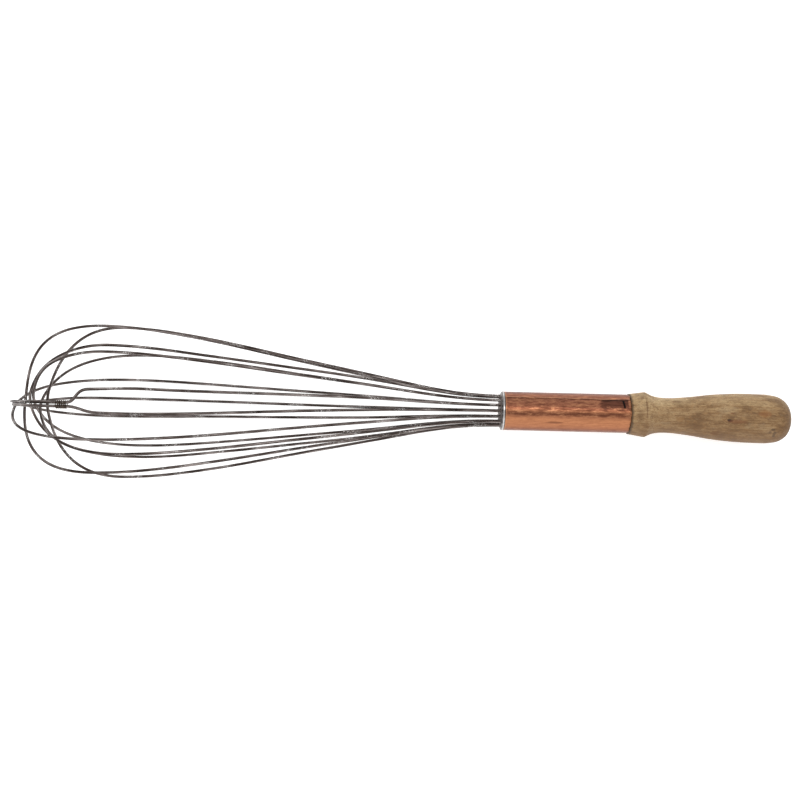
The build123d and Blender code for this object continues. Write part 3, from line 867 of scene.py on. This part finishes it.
# Turned beech, oiled once and washed many times: pale tan and mottled, with fine long grain, short
# darker rays, a knot and a few stains that the eye finds on close looking. Its top side has painted
# light and its lower side painted shade.
def washedBeechPaintedLight():
    look = {
        "wood": ((0.41, "#66482a"), (0.5, "#93724b"), (0.59, "#b89a70"), (0.67, "#d2b88c")),
        "blotchAndShade": "#624425",
        "pale": "#bfa57e",
        "warm": "#8a5c30",
        "pore": "#614529",
        "joint": "#4c3823",
        "patterns": {
            "grain": ((34.0, 0.7, 0.7), 6.0, 0.65),
            "figure": ((26.0, 3.4, 3.4), 4.0, 0.6),
            "mottle": ((3.4, 1.7, 1.7), 7.0, 0.7),
            "stain": ((13.0, 7.0, 7.0), 4.0, 0.6),
            "pores": ((2.4, 0.24, 0.24), 3.0, 0.6),
            "dots": ((0.8, 0.5, 0.5), 3.0, 0.6),
            "dashes": ((8.0, 3.5, 3.5), 2.0, 0.6),
        },
        "figureShare": 0.5,
        "mottleShare": 0.45,
        # the top side is painted lighter, a painted light, and the neck is bleached, where the hand
        # seldom comes: where this starts and ends, and the shift along the wood's colours
        "paintedLightSide": (0.15, 0.9, 0.0, 0.08),
        "bleachedNeck": (108.0, 88.0, 0.0, 0.03),
        "coats": (
            ("stain", 0.50, 0.64, 0.55, "blotchAndShade"),
            ("stain", 0.46, 0.30, 0.5, "pale"),
            ("mottle", 0.53, 0.64, 0.55, "warm"),
            ("pores", 0.54, 0.64, 0.7, "pore"),
            ("dots", 0.58, 0.67, 0.65, "pore"),
            ("mottle", 0.42, 0.30, 0.4, "pale"),
        ),
        # painted shade on the lower side
        "paintedShadeSide": (0.3, -0.95, 0.6),
        "brownButt": (153.0, 165.0, 0.8),
        "ridgeDarkLine": 80.4,
        "lineEdge": (0.6, 0.2, 1.0),
        "lineDashes": (0.45, 0.6, 0.05, 0.45),
        "jointEdge": (1.3, 0.3),    # past the sleeve's end
        "jointStrength": 0.85,
        "lineFray": 0.5,
        "markFray": 0.6,
        # place on the wood, size of the spot, colour and strength
        "marks": (
            ((127.0, -1.6, 12.9), (1.2, 0.6, 2.0), "#4a2a16", 0.9),
            ((126.3, -1.2, 12.9), (0.7, 0.4, 2.0), "#1f1009", 0.8),
            ((131.0, -2.0, 13.4), (3.4, 0.7, 2.0), "#7d4a2a", 0.4),
            ((128.2, 2.6, 12.9), (0.9, 0.4, 2.0), "#6d4526", 0.6),
            ((119.6, -9.0, 8.6), (1.7, 1.0, 2.5), "#64401f", 0.6),
            ((99.5, -1.8, 10.4), (1.6, 1.0, 2.0), "#80592f", 0.5),
            ((151.7, -5.95, 12.4), (0.9, 0.5, 2.5), "#3b2a1c", 0.7),
            ((152.8, -8.5, 10.8), (0.7, 1.2, 2.5), "#453222", 0.6),
            ((150.3, -7.2, 11.8), (0.6, 0.5, 2.5), "#4d3826", 0.5),
            ((146.4, 3.0, 13.8), (2.4, 1.5, 2.5), "#98602e", 0.4),
            ((78.3, 9.9, 8.2), (0.6, 0.5, 2.5), "#5c3b1f", 0.35),
            ((80.2, 4.0, 12.0), (0.35, 3.6, 2.5), "#5a3a1e", 0.5),
            ((80.0, -6.0, 11.2), (1.2, 1.8, 2.5), "#6a4826", 0.4),
        ),
        "roughness": (0.35, 0.65, 0.52, 0.7),
        "poreRelief": -0.8,
        "reliefDepth": 0.12,
    }
    material, tree, shader = newMaterial("turnedBeechWashedPaintedLight")
    place = addNode(tree, "ShaderNodeAttribute", output="Vector", attribute_name="place")
    x, y, z = addNode(tree, "ShaderNodeSeparateXYZ", (place,)).node.outputs
    noises = noisePatterns(tree, place, look["patterns"])
    mottle = noises["mottle"]
    wood = addNode(tree, "ShaderNodeMix", {
        0: look["figureShare"], 2: noises["grain"], 3: noises["figure"],
    })
    wood = addNode(tree, "ShaderNodeMix", {0: look["mottleShare"], 2: wood, 3: mottle})
    # the top side painted lighter, a painted light, together with the bleached neck
    turn = addNode(tree, "ShaderNodeMath", (y, z), operation="ARCTAN2")
    side = addNode(tree, "ShaderNodeMath", (turn,), operation="SINE")
    paintedLightAndBleachedNeck = addNode(tree, "ShaderNodeMath", (
        addNode(tree, "ShaderNodeMapRange", (side, *look["paintedLightSide"])),
        addNode(tree, "ShaderNodeMapRange", (x, *look["bleachedNeck"])),
    ), operation="ADD")
    paler = addNode(tree, "ShaderNodeMath", (wood, paintedLightAndBleachedNeck), operation="ADD")
    base = addNode(tree, "ShaderNodeValToRGB", {"Fac": paler}, stops=look["wood"])
    for pattern, start, full, strength, code in look["coats"]:
        base = coat(tree, base, look[code], noises[pattern], start, full, strength)
    # painted shade darkens the lower side, and the rounded end has gone browner
    base = coat(tree, base, look["blotchAndShade"], side, *look["paintedShadeSide"])
    base = coat(tree, base, look["blotchAndShade"], x, *look["brownButt"])
    # a broken dark line at the ridge, and painted shade in the joint with the sleeve
    frayed = swayed(tree, x, mottle, look["lineFray"])
    beside = addNode(tree, "ShaderNodeMath", (frayed, look["ridgeDarkLine"]), operation="SUBTRACT")
    off = addNode(tree, "ShaderNodeMath", (beside,), operation="ABSOLUTE")
    dashes = addNode(tree, "ShaderNodeMapRange", (noises["dashes"], *look["lineDashes"]))
    base = coat(tree, base, look["pore"], off, *look["lineEdge"], dashes)
    # painted shade in the joint: a dark band on the wood just past the sleeve's end
    jointEdge = (sleeve["length"] + past for past in look["jointEdge"])
    base = coat(tree, base, look["joint"], frayed, *jointEdge, look["jointStrength"])
    for centre, size, code, strength in look["marks"]:
        mark = spot(tree, place, centre, size, mottle, look["markFray"])
        base = coat(tree, base, code, mark, 0.0, 1.0, strength)
    pits = addNode(tree, "ShaderNodeMath", (noises["pores"], look["poreRelief"]),
                   operation="MULTIPLY")
    relief = addNode(tree, "ShaderNodeMath", (pits, noises["grain"]), operation="ADD")
    fill(tree, shader, {
        "Base Color": base,
        "Roughness": addNode(tree, "ShaderNodeMapRange", (mottle, *look["roughness"])),
        "Specular IOR Level": 0.35,
        "Normal": addNode(tree, "ShaderNodeBump", {
            "Height": relief, "Strength": 0.45, "Distance": look["reliefDepth"] * mm,
        }),
    })
    return material


def turnHandle():
    # one profile from the tenon to the butt: straight cuts at the ridge, curves elsewhere,
    # each stretch with its own number of rows
    def station(distance, diameter):
        return np.array((sleeve["length"] + distance, diameter / 2))

    def towards(start, end, length):
        return start + (end - start) / np.linalg.norm(end - start) * length

    shoulder = station(0.0, grip["shoulderDiameter"])
    ridge = station(grip["ridgeDistance"], grip["ridgeDiameter"])
    groove = station(grip["grooveDistance"], grip["grooveDiameter"])
    waist = station(grip["waistDistance"], grip["waistDiameter"])
    swell = station(grip["swellDistance"], grip["swellDiameter"])
    flat = station(grip["length"], grip["flatDiameter"])
    body = [waist + (swell - waist) * np.array(shares) for shares in grip["bodyShares"]]
    butt = [swell + (flat - swell) * np.array(shares) for shares in grip["buttShares"]]
    before = towards(ridge, shoulder, grip["ridgeRound"] / 2)
    after = towards(ridge, groove, grip["ridgeRound"] / 2)
    ahead = (1, 0)
    tenonEnd = sleeve["length"] - grip["tenonGap"]
    disc = np.linspace(flat[1], grip["poleRadius"], 9)[1:]
    profile = np.concatenate((
        level(np.linspace(grip["tenonStart"], tenonEnd, 8), grip["tenonRadius"]),
        throughPoints((shoulder, before), before - shoulder, before - shoulder, 24),
        throughPoints((before, after), ridge - before, after - ridge, 7)[1:],
        throughPoints((after, groove), groove - after, groove - after, 10)[1:],
        throughPoints((groove, waist), (1, -grip["grooveSlope"]), ahead, 40)[1:],
        throughPoints((waist, *body, swell), ahead, ahead, 140)[1:],
        throughPoints((swell, *butt, flat), ahead, (0, -1), 70)[1:],
        np.stack((np.full_like(disc, flat[0]), disc), axis=-1),
    ))
    points = turnedGrid(profile, grip["sides"])
    places = points.copy()
    warped = np.maximum(points[..., 0] - sleeve["length"] - grip["leanDistance"], 0.0)
    points[..., 1] -= math.tan(math.radians(grip["lean"])) * warped
    buildPiece("handle_turned", points, places, washedBeechPaintedLight(), replaced="handle")


# Core

# Sawn beech dowel, never seen: plain dry wood with grain along its length.
def dryWood():
    material, tree, shader = newMaterial("sawnBeechDowel")
    place = addNode(tree, "ShaderNodeTexCoord", output="Object")
    grainSize = (33.3 * mm, 1.11 * mm, 1.11 * mm)  # this place is in metres
    grain = noisePattern(tree, place, grainSize, 4.0, 0.5)
    base = addNode(tree, "ShaderNodeValToRGB", {"Fac": grain},
                   stops=((0.4, "#8e7150"), (0.6, "#b0926c")))
    fill(tree, shader, {"Base Color": base, "Roughness": 0.8})
    return material


# The pose on the table, worked out as the part's own source does: rolled about its axis
# until two loops touch the table, then tilted until the handle's swell does too.
def tablePose():
    contact = balloon["contactShare"] * balloon["length"]
    feet = []
    for name in tiedLoops:
        slot, bellyShare, first, second = loops[name]
        radius = legRadius(contact, bellyShare * balloon["length"], balloon["radius"])
        feet.append(aroundAxis(np.array(contact), radius, slot + 180 + second[0]))
    roll = -math.atan2(feet[1][2] - feet[0][2], feet[1][1] - feet[0][1])
    rolled = np.array((
        (1, 0, 0),
        (0, math.cos(roll), -math.sin(roll)),
        (0, math.sin(roll), math.cos(roll)),
    ))
    drop = balloon["wireDiameter"] / 2 - (rolled @ feet[0])[2] - grip["swellDiameter"] / 2
    tilt = math.atan2(drop, sleeve["length"] + grip["swellDistance"] - feet[0][0])
    tilted = np.array((
        (math.cos(tilt), 0, math.sin(tilt)),
        (0, 1, 0),
        (-math.sin(tilt), 0, math.cos(tilt)),
    ))
    turned = tilted @ rolled
    low, high = (np.array(corner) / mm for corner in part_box("copper_sleeve"))
    return turned, (low + high) / 2 - turned @ np.array((sleeve["length"] / 2, 0, 0))


def onTable(points):
    # whisk millimetres to metres in the frame: turned, shifted, scaled
    return (points @ poseTurn.T + poseShift) * mm


# Studio: pale floor, soft light, and the camera over the whisk as in the photograph

studio = {
    "floorSize": 6.0,        # metres, as are the lights' distances and sizes
    "floorColour": "#ffffff",
    "floorGlow": 0.45,       # the table is a lit panel, so that no shadow is left on it
    "skyColour": "#ffffff",
    "skyStrength": 0.72,
    "strip": {
        "direction": (0.0, 0.21, 0.98), "distance": 1.25, "size": (1.3, 0.2), "power": 4.0,
    },
    "softbox": {
        "direction": (0.0, -0.87, 0.5), "distance": 1.1, "size": (1.8, 1.1), "power": 4.0,
    },
}
view = {
    "height": 551.0,         # of the lens over the whisk's axis
    "along": -60.03,         # place of the picture's middle along and across the picture
    "across": 6.26,
    "slope": 1.38,           # degrees by which the whisk slopes down to the right
    "lens": 42.75,
    "sensorWidth": 36.0,
}


# Lit acrylic: an even white that takes no shadow and hardly any reflection.
def layFloor():
    half = studio["floorSize"] / 2
    mesh = bpy.data.meshes.new("floor")
    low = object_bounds()[0][2]
    corners = [(-half, -half, low), (half, -half, low), (half, half, low), (-half, half, low)]
    mesh.from_pydata(corners, [], [(0, 1, 2, 3)])
    floor = bpy.data.objects.new("floor", mesh)
    scene.collection.objects.link(floor)
    material, tree, shader = newMaterial("litAcrylicTable")
    fill(tree, shader, {
        "Base Color": studio["floorColour"],
        "Roughness": 0.9,
        "Specular IOR Level": 0.1,
        "Emission Color": studio["floorColour"],
        "Emission Strength": studio["floorGlow"],
    })
    mesh.materials.append(material)


def standing(axes, place):
    # a placing whose columns are the three axes and the place
    matrix = np.eye(4)
    matrix[:3, :3] = axes
    matrix[:3, 3] = place
    return Matrix(matrix.tolist())


def hangLight(name, settings):
    # an area light at a distance from the whisk's middle, facing it
    light = bpy.data.lights.new(name, "AREA")
    light.shape = "RECTANGLE"
    light.size, light.size_y = settings["size"]
    light.energy = settings["power"]
    lamp = bpy.data.objects.new(name, light)
    away = np.array(settings["direction"]) / np.linalg.norm(settings["direction"])
    across = np.array((1.0, 0.0, 0.0))
    up = np.cross(away, across)
    scene.collection.objects.link(lamp)
    lamp.matrix_world = standing(np.stack((across, up, away), axis=1), away * settings["distance"])


def openSky():
    world = bpy.data.worlds.new("studioSky")
    world.use_nodes = True
    fill(world.node_tree, world.node_tree.nodes["Background"], {
        "Color": studio["skyColour"], "Strength": studio["skyStrength"],
    })
    scene.world = world
    scene.view_settings.view_transform = "Standard"


def placeCamera():
    # looks straight down the whisk's z, with its right side turned by the whisk's slope
    slope = math.radians(view["slope"])
    right = np.array((math.cos(slope), math.sin(slope), 0.0))
    up = np.array((-math.sin(slope), math.cos(slope), 0.0))
    back = np.array((0.0, 0.0, 1.0))
    place = onTable(right * view["along"] + up * view["across"] + back * view["height"])
    data = bpy.data.cameras.new("camera")
    data.lens = view["lens"]
    data.sensor_width = view["sensorWidth"]
    camera = bpy.data.objects.new("camera", data)
    scene.collection.objects.link(camera)
    camera.matrix_world = standing(poseTurn @ np.stack((right, up, back), axis=1), place)
    scene.camera = camera


# Stages

poseTurn, poseShift = tablePose()
drawWires()
print("wire loops built:", len(loops))
windTie()
print("tie wound")
rollSleeve()
print("sleeve rolled")
spinCollar()
print("collar spun")
pourSolder()
print("solder poured")
turnHandle()
print("handle turned")
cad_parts["wire_core"].data.materials.clear()
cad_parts["wire_core"].data.materials.append(dryWood())
print("core finished")
layFloor()
hangLight("stripLight", studio["strip"])
hangLight("softbox", studio["softbox"])
openSky()
placeCamera()
print("studio lit")
